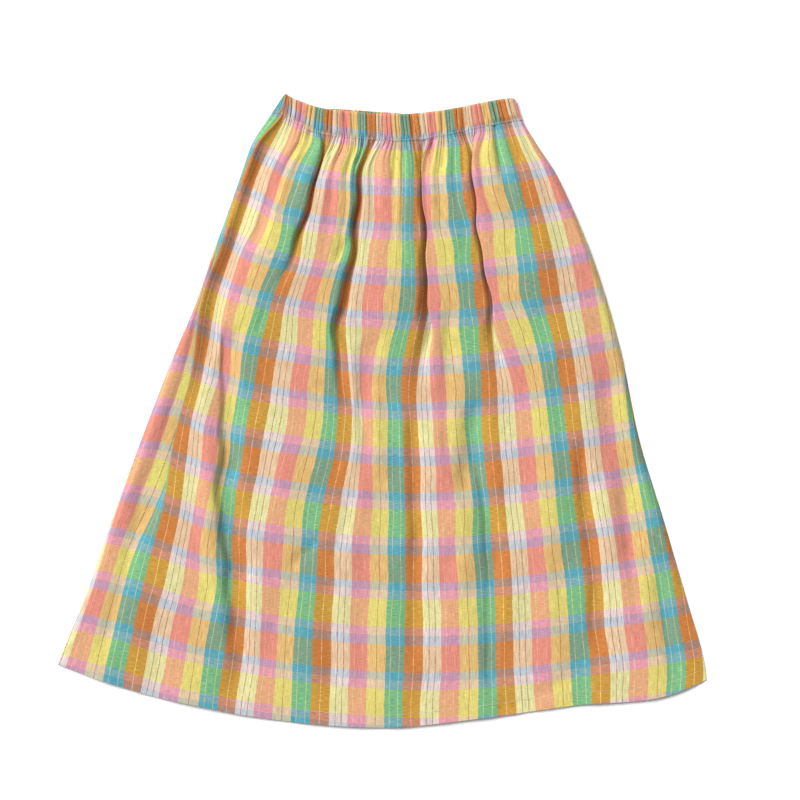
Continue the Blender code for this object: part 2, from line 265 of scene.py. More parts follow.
# The weft lies slightly askew: millimetres from the waist seam to the first yellow band, the stripe
# where they are measured, and how many more for each further stripe
FIRST_YELLOW = 8.2
YELLOW_AT_STRIPE = 5
WEFT_SKEW = 0.61


def through(x, points):
    """The smooth curve through the (x, y) points, read at x."""
    xs, ys = np.array(points, dtype=float).T
    return smooth_rows(x, xs, np.broadcast_to(ys, (len(x), len(ys))))


def smooth_rows(x, xs, ys):
    """A smooth curve for each x, flat at its turns: ys has a row for each x, a value for each of xs."""
    slopes = np.gradient(ys, xs, axis=1)
    secants = np.diff(ys, axis=1) / np.diff(xs)
    gentler = np.minimum(np.abs(secants[:, :-1]), np.abs(secants[:, 1:]))
    limit = np.where(secants[:, :-1] * secants[:, 1:] > 0, STEEPEST_SLOPE * gentler, 0)
    slopes[:, 1:-1] = np.clip(slopes[:, 1:-1], -limit, limit)
    left = np.clip(np.searchsorted(xs, x) - 1, 0, len(xs) - 2)
    row = np.arange(len(x))
    step = xs[left + 1] - xs[left]
    u = np.clip((x - xs[left]) / step, 0, 1)
    rise = ys[row, left + 1] - ys[row, left]
    bend = (1 - u) * slopes[row, left] - u * slopes[row, left + 1] + (2 * u - 1) * rise / step
    return ys[row, left] + u * rise + u * (1 - u) * step * bend


def across(stripe, drop, left_stripe, right_stripe):
    """Where a stripe lies across the skirt at a drop, before the folds pull it aside."""
    sections = np.array(SECTIONS, dtype=float)
    posts = [through(drop, sections[:, (0, column)]) for column in range(1, sections.shape[1])]
    stripes = np.array((left_stripe, *INNER_STRIPES, right_stripe))
    return smooth_rows(stripe, stripes, np.array(posts).T) * MM


def soft_rise(share):
    """A rise from 0 to 1 that starts steep and ends level, and holds beyond its ends."""
    return np.sin(np.clip(share, 0, 1) * np.pi / 2)


def fold_strength(drop, below_seam, first, last):
    """How far open a fold is at a drop, from 0 to 1; at the waist seam every fold is shut."""
    opening = soft_rise(np.minimum(drop - first, below_seam) / FOLD_OPENS_OVER)
    fading = soft_rise((last - drop) / (last - first) / FOLD_FADES_OVER)
    return opening * fading ** 2


def fold_wander(drop, number):
    """How far a fold has wandered aside at a drop, in stripes."""
    start = FOLD_WANDER_STEP * number
    return sum(share * np.sin(2 * np.pi * drop / turn + start) for share, turn in FOLD_WANDERS)


def valley(stripe, middle, left_reach, right_reach):
    """The cross-section of a fold: 1 at the bottom and 0 at both rims."""
    offset = stripe - middle
    reach = np.where(offset < 0, left_reach, right_reach)
    return np.cos(np.clip(np.abs(offset) / reach, 0, 1) * np.pi / 2) ** 2


def pull(stripe, middle, left_reach, right_reach, pulls):
    """How far a fold pulls each stripe to the right, in millimetres, at a single drop."""
    left_rim = middle - left_reach
    right_rim = middle + right_reach
    places = (left_rim - PULL_FADES_OVER[0], left_rim, middle, right_rim, right_rim + PULL_FADES_OVER[1])
    return through(stripe, tuple(zip(places, (0, *pulls, 0))))


def wander(stripe):
    """How uneven the gathers are, along the waist."""
    return sum(share * np.sin(turn * stripe + start) for turn, share, start in WANDER_WAVES)


def gather_wave(stripe):
    """Uneven gathers across the cloth: 0 on the crests and 1 in the valleys."""
    return 0.5 - 0.5 * np.cos(2 * np.pi * (stripe / GATHER_PITCH + GATHER_WANDER * wander(stripe)))


def pucker_wave(stripe):
    """Fine puckers: 0 on their round crests and 1 in the sharp slits between them."""
    phase = stripe / PUCKER_PITCH + PUCKER_WANDER * wander(PUCKER_TURN * stripe + PUCKER_START)
    return 1 - np.abs(np.cos(np.pi * phase)) ** CREST_ROUNDNESS


def side_profile(x):
    """The fall of the cloth along a row to its side seams: 0 at a seam and 1 inside."""
    from_side = np.minimum(x - x[0], x[-1] - x)
    wall = soft_rise(from_side / SIDE_WALL) ** SIDE_ROUNDNESS
    shoulder = soft_rise(from_side / SIDE_SHOULDER) ** 2
    return wall * (HEIGHT_AT_SIDE + (1 - HEIGHT_AT_SIDE) * shoulder)


def flat_row(way_down, columns):
    """One row of a panel before it is folded: stripes, drops, distances below the waist seam, places."""
    left_stripe = np.interp(way_down, *np.array(LEFT_EDGE_STRIPES).T)
    right_stripe = np.interp(way_down, *np.array(RIGHT_EDGE_STRIPES).T)
    stripe = np.linspace(left_stripe, right_stripe, columns)
    seam = through(stripe, WAIST_SEAM)
    drop = seam + (through(stripe, HEM) - seam) * way_down
    x = across(stripe, drop, left_stripe, right_stripe)
    return stripe, drop, drop - seam, x


def eased(share):
    """A share from 0 to 1, eased in and out."""
    return share * share * (3 - 2 * share)


def rumple(x, drop, cell_across, cell_down, seed):
    """Smooth uneven waves, from -1 to 1, at points in millimetres."""
    lattice = np.random.default_rng(seed).uniform(-1, 1, (LATTICE_SIZE, LATTICE_SIZE))
    u = x / cell_across + LATTICE_START[0]
    v = drop / cell_down + LATTICE_START[1]
    left = np.floor(u).astype(int)
    top = np.floor(v).astype(int)
    s = eased(u - left)
    t = eased(v - top)
    levels = []
    for row in (top, top + 1):
        row_values = [lattice[row % LATTICE_SIZE, (left + side) % LATTICE_SIZE] for side in (0, 1)]
        levels.append(row_values[0] * (1 - s) + row_values[1] * s)
    return levels[0] * (1 - t) + levels[1] * t


def crease_relief(x, drop):
    """The height of the small creases and how far they sway the cloth, at points in millimetres."""
    height = np.zeros_like(x)
    sway = np.zeros_like(x)
    for _, x1, drop1, x2, drop2, half_width, rise, aside in CREASES:
        length = np.hypot(x2 - x1, drop2 - drop1)
        along_x, along_drop = (x2 - x1) / length, (drop2 - drop1) / length
        way = ((x - x1) * along_x + (drop - drop1) * along_drop) / length
        off = (x - x1) * along_drop - (drop - drop1) * along_x
        ends = soft_rise(np.minimum(way, 1 - way) / CREASE_ENDS_OVER + 0.5)
        across_it = np.exp(-(off / half_width) ** 2) * ends ** 2
        height += rise * across_it
        sway += aside * across_it
    return height, sway


def laid_in_folds(stripe, drop, below_seam, flat_x, height):
    """One row of a panel laid in its folds: its places across, in metres, and heights, in millimetres."""
    x = flat_x.copy()
    row_drop = np.median(drop)
    for number, fold in enumerate(FOLDS):
        _, first, last, stripe_a, stripe_b, left_reach, right_reach, depth, *pulls = fold
        way = np.clip((row_drop - first) / (last - first), 0, 1)
        middle = stripe_a + (stripe_b - stripe_a) * way
        room = np.clip((middle - stripe[0]) / WANDER_INSET, 0, 1) ** 2
        middle += room * fold_wander(row_drop, number)
        left_reach = max(min(left_reach, middle - stripe[0]), LEAST_REACH)
        bottom, rim = np.interp((middle, middle + right_reach), stripe, flat_x) / MM
        pulls[1] = min(pulls[1], rim - bottom + pulls[2] + FOLD_OVERHANG)
        strength = fold_strength(drop, below_seam, first, last)
        height = height - depth * strength * valley(stripe, middle, left_reach, right_reach)
        x = x + MM * strength * pull(stripe, middle, left_reach, right_reach, pulls)
    x[0] = flat_x[0]
    return x, np.maximum(height, 0)


def folded_panel(ways_down, columns):
    """The folds that both panels lie in, as grids: stripe, distance along the warp from the waist seam,
    places across before and after folding, drop, distance below the waist seam, height."""
    rows = []
    for way_down in ways_down:
        stripe, drop, below_seam, flat_x = flat_row(way_down, columns)
        height = through(below_seam, RIDGE_HEIGHT) - through(below_seam, GATHER_DEPTH) * gather_wave(stripe)
        x, height = laid_in_folds(stripe, drop, below_seam, flat_x, height * side_profile(flat_x))
        rows.append((stripe, flat_x, x, drop, below_seam, height * MM))
    stripe, flat_x, x, drop, below_seam, height = (np.array(grid) for grid in zip(*rows))
    steps = np.hypot(LEAN_SHARE * np.diff(flat_x / MM, axis=0), np.diff(drop, axis=0))
    along_warp = np.vstack((np.zeros(columns), np.cumsum(steps, axis=0)))
    return stripe, along_warp, flat_x, x, drop, below_seam, height


def check_place(stripe, along_warp):
    """Where a point is in the check: stripes across, and millimetres down from the first yellow band."""
    band_place = along_warp - FIRST_YELLOW - WEFT_SKEW * (stripe - YELLOW_AT_STRIPE)
    return np.stack((stripe, band_place, 0 * stripe), axis=-1)


def cloth_shell(name, upper, lower, places, material):
    rows, columns = upper.shape[:2]
    number = np.arange(rows * columns).reshape(rows, columns)
    under = number + rows * columns
    top = np.stack((number[:-1, :-1], number[1:, :-1], number[1:, 1:], number[:-1, 1:]), axis=-1)
    bottom = np.stack((under[:-1, :-1], under[:-1, 1:], under[1:, 1:], under[1:, :-1]), axis=-1)
    rim = np.concatenate((number[:, 0], number[-1, 1:], number[-2::-1, -1], number[0, -2::-1]))
    sides = np.stack((rim[:-1], rim[:-1] + rows * columns, rim[1:] + rows * columns, rim[1:]), axis=-1)
    faces = np.concatenate((top.reshape(-1, 4), bottom.reshape(-1, 4), sides))
    points = np.concatenate((upper.reshape(-1, 3), lower.reshape(-1, 3)))
    points[:, :2] -= MIDDLE_OF_OUTLINE
    mesh = bpy.data.meshes.new(name)
    mesh.from_pydata(points.tolist(), [], faces.tolist())
    place = mesh.attributes.new("check_place", "FLOAT_VECTOR", "POINT")
    place.data.foreach_set("vector", np.concatenate((places, places)).astype(np.float32).ravel())
    mesh.shade_smooth()
    mesh.set_sharp_from_angle(angle=SHARP_EDGE)
    mesh.materials.append(material)
    piece = bpy.data.objects.new(name, mesh)
    bpy.context.scene.collection.objects.link(piece)
    return piece


def moved_out(sheet, distance):
    """A copy of a sheet of points, moved along its normals, upwards if positive."""
    normals = np.cross(np.gradient(sheet, axis=0), np.gradient(sheet, axis=1))
    normals /= np.linalg.norm(normals, axis=2, keepdims=True)
    return sheet + distance * normals


# The dyed threads, in encoded red, green and blue. About half of each shows where warp and weft cross
WARP_THREADS = {
    "green": (0.13, 0.59, 0.58),
    "brown": (0.69, 0.36, 0.12),
    "cream": (0.86, 0.84, 0.77),
    "salmon": (0.87, 0.48, 0.54),
    "yellow": (0.85, 0.77, 0.49),
}
WEFT_THREADS = {
    "yellow": (0.73, 0.70, 0.34),
    "orange": (0.73, 0.52, 0.34),
    "blue": (0.51, 0.56, 0.67),
    "pink": (0.71, 0.60, 0.63),
}
# Thin lines of other threads in each stripe: where in the stripe, and their colour. The lines' width is
# a share of a stripe, and the stripe's is in millimetres
STRIPE_LINES = {
    "green": ((0.27, (0.52, 0.78, 0.72)), (0.73, (0.52, 0.78, 0.72))),
    "brown": ((0.5, (0.90, 0.70, 0.46)),),
    "cream": ((0.33, (0.48, 0.36, 0.30)), (0.66, (0.48, 0.36, 0.30))),
    "salmon": ((0.27, (0.90, 0.66, 0.62)), (0.73, (0.90, 0.66, 0.62))),
    "yellow": ((0.5, (0.50, 0.38, 0.18)),),
}
LINE_WIDTH = 0.038
STRIPE_WIDTH = 25.4
# The weft bands down the cloth, and their widths in millimetres
WEFT_BANDS = (
    ("yellow", 37.4), ("pink", 11.6), ("blue", 12.9), ("orange", 36.7), ("blue", 11.6), ("pink", 12.2),
)
# Where the threads stray: the size of a patch across and down, in millimetres, and its detail
RAGGED_PATCH = (0.9, 2.0, 1)
WEFT_SLUB_PATCH = (9.0, 0.8, 2)
WARP_SLUB_PATCH = (0.8, 16.0, 2)
# How far the edges of the stripes, in stripes, and of the bands, in millimetres, stray there
RAGGED_STRIPE = 0.05
RAGGED_BAND = 1.0
# How much of the weft shows between the warp threads, and how much its slubs bring it out
WEFT_SHOWN = 0.5
SLUBS_BRING_OUT = 0.55
# How the slubs lighten the cloth, from its darkest shade
DARKEST_SHADE = 0.70
SLUB_SHADE = 0.30
ENCODING_GAMMA = 2.2
WEAVE_BUMP = 0.35
WEAVE_DEPTH = 0.4 * MM
COTTON_ROUGHNESS = 0.88
COTTON_GLOSS = 0.2
COTTON_SHEEN = 0.12
COTTON_SHEEN_ROUGHNESS = 0.5


def steps_of_colour(tree, bands, name):
    """A ramp of flat colours, from bands of (width, colour) that fill it."""
    ramp = tree.nodes.new("ShaderNodeValToRGB")
    ramp.label = name
    ramp.color_ramp.interpolation = "CONSTANT"
    total = sum(width for width, _ in bands)
    start = 0
    for number, (width, colour) in enumerate(bands):
        stop = ramp.color_ramp.elements[0] if number == 0 else ramp.color_ramp.elements.new(start / total)
        stop.position = start / total
        stop.color = (*colour, 1)
        start += width
    ramp.color_ramp.elements.remove(ramp.color_ramp.elements[-1])
    return ramp


def warp_bands():
    """The stripes across the cloth, each with its thin lines, as (width, colour) bands."""
    bands = []
    for stripe, colour in WARP_THREADS.items():
        place = 0
        for middle, line_colour in STRIPE_LINES[stripe]:
            bands.append((middle - LINE_WIDTH / 2 - place, colour))
            bands.append((LINE_WIDTH, line_colour))
            place = middle + LINE_WIDTH / 2
        bands.append((1 - place, colour))
    return bands


def feed(tree, socket, value):
    """Set a socket to a value, or link it to another socket."""
    if isinstance(value, bpy.types.NodeSocket):
        tree.links.new(value, socket)
    else:
        socket.default_value = value


def joined(tree, kind, operation, *inputs):
    """A maths node of a kind, with its inputs set to numbers or linked to sockets."""
    node = tree.nodes.new(kind)
    node.operation = operation
    for socket, value in zip(node.inputs, inputs):
        feed(tree, socket, value)
    return node.outputs[0]


def mixed(tree, share, first, second):
    """A colour between two colours, by the share of the second."""
    mix = tree.nodes.new("ShaderNodeMix")
    mix.data_type = "RGBA"
    for number, value in ((0, share), (6, first), (7, second)):
        feed(tree, mix.inputs[number], value)
    return mix.outputs[2]


def roughen(tree, shader, height, strength, depth):
    """Let a height raise the surface that the light sees."""
    bump = tree.nodes.new("ShaderNodeBump")
    bump.inputs["Strength"].default_value = strength
    bump.inputs["Distance"].default_value = depth
    tree.links.new(height, bump.inputs["Height"])
    tree.links.new(bump.outputs["Normal"], shader.inputs["Normal"])


def streaks(tree, place, across_mm, along_mm, detail):
    """Noise drawn out along one set of threads: its patches are as wide and as long as given."""
    node = tree.nodes.new("ShaderNodeTexNoise")
    node.noise_dimensions = "2D"
    node.inputs["Scale"].default_value = 1
    node.inputs["Detail"].default_value = detail
    patches = (STRIPE_WIDTH / across_mm, 1 / along_mm, 0)
    scaled = joined(tree, "ShaderNodeVectorMath", "MULTIPLY", place, patches)
    tree.links.new(scaled, node.inputs["Vector"])
    return node.outputs["Fac"]


def dyed_in_turn(tree, place, bands, repeat, name):
    """The colour of the band that a place falls in, as the bands repeat."""
    turn = joined(tree, "ShaderNodeMath", "FLOORED_MODULO", place, repeat)
    turn = joined(tree, "ShaderNodeMath", "DIVIDE", turn, repeat)
    ramp = steps_of_colour(tree, bands, name)
    tree.links.new(turn, ramp.inputs["Fac"])
    return ramp.outputs["Color"]


def check_colours(tree, place):
    """The colours of the warp and of the weft at a place in the check, with ragged edges."""
    parts = tree.nodes.new("ShaderNodeSeparateXYZ")
    tree.links.new(place, parts.inputs[0])
    ragged = streaks(tree, place, *RAGGED_PATCH)
    stripe = joined(tree, "ShaderNodeMath", "MULTIPLY_ADD", ragged, RAGGED_STRIPE, parts.outputs["X"])
    band = joined(tree, "ShaderNodeMath", "MULTIPLY_ADD", ragged, RAGGED_BAND, parts.outputs["Y"])
    warp = dyed_in_turn(tree, stripe, warp_bands(), float(len(WARP_THREADS)), "warp stripes")
    weft_bands = [(width, WEFT_THREADS[dye]) for dye, width in WEFT_BANDS]
    weft = dyed_in_turn(tree, band, weft_bands, sum(width for _, width in WEFT_BANDS), "weft bands")
    return warp, weft


def checked_cotton(name):
    """Plain-woven cotton in a five-stripe check of dyed yarns, matt, with slubs in both directions."""
    material = bpy.data.materials.new(name)
    material.use_nodes = True
    tree = material.node_tree
    shader = tree.nodes["Principled BSDF"]
    attribute = tree.nodes.new("ShaderNodeAttribute")
    attribute.attribute_name = "check_place"
    place = attribute.outputs["Vector"]
    warp, weft = check_colours(tree, place)
    weft_slub = streaks(tree, place, *WEFT_SLUB_PATCH)
    warp_slub = streaks(tree, place, *WARP_SLUB_PATCH)
    shown = joined(tree, "ShaderNodeMath", "SUBTRACT", weft_slub, warp_slub)
    shown = joined(tree, "ShaderNodeMath", "MULTIPLY_ADD", shown, SLUBS_BRING_OUT, WEFT_SHOWN)
    grain = joined(tree, "ShaderNodeMath", "ADD", weft_slub, warp_slub)
    shade = joined(tree, "ShaderNodeMath", "MULTIPLY_ADD", grain, SLUB_SHADE, DARKEST_SHADE)
    shaded = joined(tree, "ShaderNodeVectorMath", "MULTIPLY", mixed(tree, shown, warp, weft), shade)
    linear = tree.nodes.new("ShaderNodeGamma")
    linear.inputs["Gamma"].default_value = ENCODING_GAMMA
    tree.links.new(shaded, linear.inputs["Color"])
    tree.links.new(linear.outputs["Color"], shader.inputs["Base Color"])
    roughen(tree, shader, grain, WEAVE_BUMP, WEAVE_DEPTH)
    shader.inputs["Roughness"].default_value = COTTON_ROUGHNESS
    shader.inputs["Specular IOR Level"].default_value = COTTON_GLOSS
    shader.inputs["Sheen Weight"].default_value = COTTON_SHEEN
    shader.inputs["Sheen Roughness"].default_value = COTTON_SHEEN_ROUGHNESS
    return material


cotton = checked_cotton("checked_cotton")
ways_down = np.linspace(0, 1, PANEL_ROWS + 1) ** ROW_CROWDING
stripe, along_warp, flat_x, x, drop, below_seam, height = folded_panel(ways_down, PANEL_COLUMNS + 1)
side = np.array([side_profile(row) for row in x])
relief, sway = crease_relief(x / MM, drop)
begin = np.clip(below_seam / RUMPLES_BEGIN_OVER, 0, 1)
for number, (cell_across, cell_down, rise) in enumerate(RUMPLES):
    relief += begin * rise * rumple(x / MM, drop, cell_across, cell_down, RUMPLE_SEED + number)
puckers = np.array([through(row, PUCKER_DEPTH) for row in below_seam]) * pucker_wave(stripe)
for number, (cell_across, cell_down, aside) in enumerate(STRAYS):
    sway += begin * aside * rumple(x / MM, drop, cell_across, cell_down, STRAY_SEED + number)
front_x = x + sway * MM * side
front_height = np.maximum(height + (relief - puckers) * MM * side, 0)
front_upper = np.stack((front_x, -drop * MM, PANEL_REST + PANEL_RISE * side + front_height), axis=-1)
front_lower = moved_out(front_upper, -CLOTH)
front_panel = cloth_shell(
    "front_skirt_panel", front_upper, front_lower,
    check_place(stripe, along_warp).reshape(-1, 3), cotton,
)
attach(front_panel, "root")
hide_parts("front_panel")

# Back panel
# The same A-line panel again, below the front one and sewn to it at both sides. It lies flat on
# the floor, and rises into the front's folds near the waist.
BACK_COLUMNS = 220
BACK_ROWS = 90
BACK_INSET = 0.6 * MM
# It rises to a share of the lowest height of the folds within this reach, and the share depends on the
# millimetres below the waist seam
NEST_REACH = 12 * MM
BACK_SHARE = ((0, 0.3), (30, 0.5), (200, 0.5), (300, 0.35), (420, 0), (900, 0))
# The stripes at its left and right edges, at the waist and at the hem
BACK_EDGE_STRIPES = np.array(((2.1, -27.1), (4.2, -30.4)))


def back_row(way_down, flat_x, x, drop, below_seam, height):
    """One row of the back panel's lower face, and its places in the check."""
    back_x = np.linspace(flat_x[0] + BACK_INSET, flat_x[-1] - BACK_INSET, BACK_COLUMNS + 1)
    back_drop = np.interp(back_x, flat_x, drop)
    back_below = np.interp(back_x, flat_x, below_seam)
    near = np.abs(x - back_x[:, None]) < NEST_REACH
    lowest = np.where(near, height, np.inf).min(axis=1)
    points = np.stack((back_x, -back_drop * MM, through(back_below, BACK_SHARE) * lowest), axis=1)
    edges = BACK_EDGE_STRIPES[0] + (BACK_EDGE_STRIPES[1] - BACK_EDGE_STRIPES[0]) * way_down
    back_stripe = np.linspace(*edges, BACK_COLUMNS + 1)
    return points, np.stack((back_stripe, back_below - FIRST_YELLOW, 0 * back_stripe), axis=1)


back_ways = np.linspace(0, 1, BACK_ROWS + 1) ** ROW_CROWDING
_, _, *folds = folded_panel(back_ways, PANEL_COLUMNS + 1)
back_rows, back_places = zip(*(back_row(way_down, *row) for way_down, *row in zip(back_ways, *folds)))
back_lower = np.array(back_rows)
back_upper = back_lower.copy()
back_upper[:, :, 2] += CLOTH
back_panel = cloth_shell(
    "back_skirt_panel", back_upper, back_lower,
    np.array(back_places).reshape(-1, 3), cotton,
)
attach(back_panel, "root")
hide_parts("back_panel")

# Waist casings
# The top of each panel is turned over a wide elastic and stitched down, so that it is drawn up
# into narrow round ridges with dark slits between them.
CASING_STRIPES = {"back": (2.1, -27.1), "front": (0.45, 28.3)}
CASING_THICKNESS = 0.8 * MM
# How high the crests stand, how deep the slits are, both in millimetres, how many stripes a ridge
# takes, and how much its slit is pressed shut
CASING_RIDGES = {"back": (3.95, 3.1, 0.328, 0.0), "front": (9.5, 4.8, 0.6, 0.62)}
# How far the top edge of each casing stands above the drawn height, by stripe
CASING_EDGES = {
    "back": ((-1, -2), (5.5, -2), (7.5, 2.2), (11, 2.6), (14.5, 1.6), (16.5, -2), (29, -2)),
    "front": ((-1, 0), (29, 0)),
}
# The drawn height of the casing above the seam, in millimetres, by stripe
CASING_HEIGHT = ((0.45, 26), (3, 30), (7, 35), (15, 36), (21, 33), (28.3, 30))
# The casing's grid, with its rows closer together towards the seam
CASING_COLUMNS = 1100
CASING_ROWS = 22
CASING_CROWDING = 1.2
# How the ridges stray from an even pitch: share of a ridge, and turn of its waves for each stripe
RIDGE_WANDER = 0.36
RIDGE_TURN = 1.9
# How the slits lean on their way up: share of a ridge, and the turn and start of their wave
SLIT_LEAN = 0.22
LEAN_TURN = 0.8
LEAN_START = 0.5
# How unlike each other the slits are in depth: share, turn for each stripe, and the slower wave that
# shifts them. The slack of the back casing's slits follows the same turn
RIDGE_UNEVENNESS = 0.34
DEPTH_TURN = 2.3
DEPTH_SHIFT = 1.5
DEPTH_SHIFT_TURN = 0.9
RIDGE_SLACK = 0.12
# The finest ridges of the pressed cloth: stripes for each, and their share of the depth
FINE_PITCH = 0.25
FINE_SHARE = 0.13
# How the casing meets the panel, in millimetres: the height that blends, how far it stands clear of
# the panel at the seam, how far below its crests it stays there, and how far it reaches past the seam
SEAM_BLEND = 9
SEAM_CLEARANCE = 0.5
SEAM_BELOW_CREST = 1
CASING_OVERLAP = 0.9
# The round top edge and corners, in millimetres
CASING_EDGE_FALL = 1.2
CASING_EDGE_ROUNDING = 4
CASING_CORNER = 6
# Each end comes down over its last millimetres, to this share of the height of its ridges
CASING_END = 14
CASING_END_SHARE = 0.2
# The casing thins to this share of its thickness at the seam
CASING_THIN_EDGE = 0.25
# Millimetres of drawn-up casing for each stripe
MM_A_STRIPE = 11.4
# The columns over which the uneven take-up of cloth is evened out along the casing
STRIPE_WINDOW = 101


def ridges(stripe, way_up, pitch, pressed):
    """The drawn-up ridges: stripes moved towards the crests, and a fall that is 1 in the deepest slits."""
    lean = SLIT_LEAN * way_up * np.sin(LEAN_TURN * stripe + LEAN_START)
    phase = stripe / pitch + RIDGE_WANDER * wander(RIDGE_TURN * stripe) + lean
    unevenness = RIDGE_UNEVENNESS * pressed
    shift = DEPTH_SHIFT * np.sin(DEPTH_SHIFT_TURN * stripe)
    strength = 1 - unevenness + unevenness * np.sin(DEPTH_TURN * stripe + shift + way_up)
    strength -= RIDGE_SLACK * (1 - np.sin(DEPTH_TURN * stripe)) * (1 - pressed)
    moved = stripe + pitch * pressed * np.sin(2 * np.pi * phase) / (2 * np.pi)
    fine = 1 - np.abs(np.cos(np.pi * stripe / FINE_PITCH))
    slit = 1 - np.abs(np.cos(np.pi * phase)) ** CREST_ROUNDNESS
    return moved, strength * slit * (1 - FINE_SHARE * pressed) + FINE_SHARE * pressed * fine


def seam_height(stripe, side):
    """How high the front cloth stands at the waist seam, in millimetres."""
    standing = RIDGE_HEIGHT[0][1] - GATHER_DEPTH[0][1] * gather_wave(stripe)
    standing += PANEL_RISE / MM - PUCKER_DEPTH[0][1] * pucker_wave(stripe)
    return PANEL_REST / MM + standing * side


def quarter_round(share):
    """The height of a rounded edge at a share of the way in, from 0 to 1."""
    return np.sqrt(1 - (1 - np.clip(share, 0, 1)) ** 2)


def casing_row(side_name, stripe, way_up):
    """One row along a casing, at a share of its height: distances above the seam, and points."""
    crest, depth, pitch, pressed = CASING_RIDGES[side_name]
    from_end = np.minimum(stripe - stripe[0], stripe[-1] - stripe) * MM_A_STRIPE
    corner = quarter_round(from_end / CASING_CORNER)
    end_share = CASING_END_SHARE + (1 - CASING_END_SHARE) * soft_rise(from_end / CASING_END)
    moved, slit = ridges(stripe, way_up, pitch, pressed)
    moved = stripe + (moved - stripe) * corner
    full_height = through(moved, CASING_HEIGHT) + through(moved, CASING_EDGES[side_name])
    full_height -= CASING_CORNER * (1 - corner)
    drop = through(moved, WAIST_SEAM) + CASING_OVERLAP - (full_height + CASING_OVERLAP) * way_up
    x = across(moved, drop, stripe[0], stripe[-1])
    plump = quarter_round(full_height * (1 - way_up) / CASING_EDGE_ROUNDING)
    fall = depth * slit * corner + CASING_EDGE_FALL * (1 - plump * corner)
    standing = seam_height(moved, side_profile(x)) + SEAM_CLEARANCE - crest + depth
    at_seam = crest - depth + np.clip(standing, 0, depth - SEAM_BELOW_CREST) * corner
    height = crest - depth + (depth - np.minimum(fall, depth)) * end_share
    height += (at_seam - height) * eased(np.clip(1 - full_height * way_up / SEAM_BLEND, 0, 1))
    return full_height * way_up, np.stack((x, -drop * MM, height * MM), axis=1)


def casing_sheet(side_name):
    """The outer face of a casing: distances above the seam, and points, as grids."""
    stripe = np.linspace(*CASING_STRIPES["front"], CASING_COLUMNS + 1)
    ways_up = np.linspace(1, 0, CASING_ROWS + 1) ** CASING_CROWDING
    above, rows = zip(*(casing_row(side_name, stripe, way_up) for way_up in ways_up))
    return np.array(above), np.array(rows)


def stripes_along(sheet, ends):
    """The stripe at each point of a casing: the slits take up more cloth than the crests."""
    middle = sheet[len(sheet) // 2]
    steps = np.linalg.norm(np.diff(middle, axis=0), axis=1)
    cloth = np.concatenate(((0,), np.cumsum(steps)))
    cloth *= len(steps) / cloth[-1]
    even = np.arange(len(middle))
    window = np.hanning(STRIPE_WINDOW)
    padded = np.pad(cloth - even, STRIPE_WINDOW // 2, mode="edge")
    drift = np.convolve(padded, window / window.sum(), mode="valid")
    return ends[0] + (ends[1] - ends[0]) * (cloth - drift[:len(even)]) / (len(even) - 1)


def casing(side_name):
    """A closed band of gathered cloth and hidden elastic, drawn up into ridges together."""
    above, upper = casing_sheet(side_name)
    lower = upper.copy()
    thinned = np.clip(2 * above / SEAM_BLEND, CASING_THIN_EDGE, 1)
    lower[:, :, 2] -= CASING_THICKNESS * thinned
    stripe = np.broadcast_to(stripes_along(upper, CASING_STRIPES[side_name]), above.shape)
    places = check_place(stripe, -above)
    piece = cloth_shell(side_name + "_waist_casing", upper, lower, places.reshape(-1, 3), cotton)
    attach(piece, "root")
    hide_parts(side_name + "_casing")
    return piece, upper


back_casing, _ = casing("back")
front_casing, front_casing_face = casing("front")

# Stitches
# Rows of pale cotton thread, one through the foot of the casing and one that holds the hem turn-up.
# Each stitch is a short round length of twisted thread that lies along its row on the cloth.
STITCH_PITCH = 3.0 * MM
STITCH_LENGTH = 2.1 * MM
THREAD_RADIUS = 0.22 * MM
THREAD_SIDES = 6
STITCH_LIFT = 0.12 * MM
# The row of points that the stitches follow, counted from a sheet's lower edge, and how many columns
# they leave free at each side
STITCH_ROW = -3
SEAM_INSET = 6
# Painted light on the thread's plies and painted shade in the grooves between them
PLY_PAINTED_LIGHT = (0.70, 0.63, 0.53)
PLY_PAINTED_SHADE = (0.50, 0.43, 0.35)
THREAD_ROUGHNESS = 0.7
THREAD_GLOSS = 0.3
PLY_LENGTH = 0.4 * MM
PLY_DETAIL = 1
PLY_BUMP = 0.4
PLY_DEPTH = 0.1 * MM


def twisted_thread(name):
    """Pale cotton thread, with painted light on its plies and painted shade between them."""
    material = bpy.data.materials.new(name)
    material.use_nodes = True
    tree = material.node_tree
    shader = tree.nodes["Principled BSDF"]
    place = tree.nodes.new("ShaderNodeTexCoord").outputs["Object"]
    plies = tree.nodes.new("ShaderNodeTexNoise")
    plies.inputs["Scale"].default_value = 1 / PLY_LENGTH
    plies.inputs["Detail"].default_value = PLY_DETAIL
    tree.links.new(place, plies.inputs["Vector"])
    # The ply noise mixes the painted shade and the painted light over the thread
    ply_light_and_shade = mixed(tree, plies.outputs["Fac"], (*PLY_PAINTED_SHADE, 1), (*PLY_PAINTED_LIGHT, 1))
    tree.links.new(ply_light_and_shade, shader.inputs["Base Color"])
    roughen(tree, shader, plies.outputs["Fac"], PLY_BUMP, PLY_DEPTH)
    shader.inputs["Roughness"].default_value = THREAD_ROUGHNESS
    shader.inputs["Specular IOR Level"].default_value = THREAD_GLOSS
    return material


def half_stitch(tree, stitch_length, direction):
    """One end of a stitch, seen from its middle: -1 for the back end and 1 for the front end."""
    reach = joined(tree, "ShaderNodeMath", "MULTIPLY", stitch_length, direction / 2)
    end = tree.nodes.new("ShaderNodeCombineXYZ")
    tree.links.new(reach, end.inputs["X"])
    return end.outputs[0]


